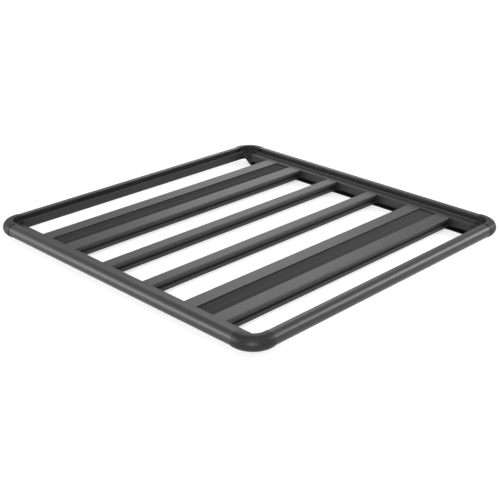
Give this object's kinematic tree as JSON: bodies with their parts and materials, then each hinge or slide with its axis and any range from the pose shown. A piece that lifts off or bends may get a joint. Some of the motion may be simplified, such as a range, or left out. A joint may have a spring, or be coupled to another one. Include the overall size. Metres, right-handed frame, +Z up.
{
  "type": "flat platform roof rack",
  "caption": "Low flat platform roof rack with rounded perimeter rails, moulded corners, side beams, single planks and wide planks with a sunken ribbed channel, all slotted for T-bolts",
  "frame": {"origin": "middle of the rack in plan, at the height of the underside of the side beams", "axes": "+X along the planks to the right side, +Y along the side rails to the rear, +Z up"},
  "size_m": [1.2, 1.187, 0.0666],
  "materials": {
    "rail_metal": "satin black powder coat",
    "beam_metal": "satin black powder coat",
    "plank_metal": "satin black powder coat",
    "corner_moulding": "fine satin moulded black"
  },
  "bodies": {
    "root": {"front_rail": "rail_metal", "rear_rail": "rail_metal", "left_rail": "rail_metal", "right_rail": "rail_metal", "corner_front_left": "corner_moulding", "corner_front_right": "corner_moulding", "corner_rear_left": "corner_moulding", "corner_rear_right": "corner_moulding", "left_beam": "beam_metal", "right_beam": "beam_metal", "front_single_plank": "plank_metal", "rear_single_plank": "plank_metal", "front_wide_plank": "plank_metal", "rear_wide_plank": "plank_metal"}
  },
  "joints": []
}
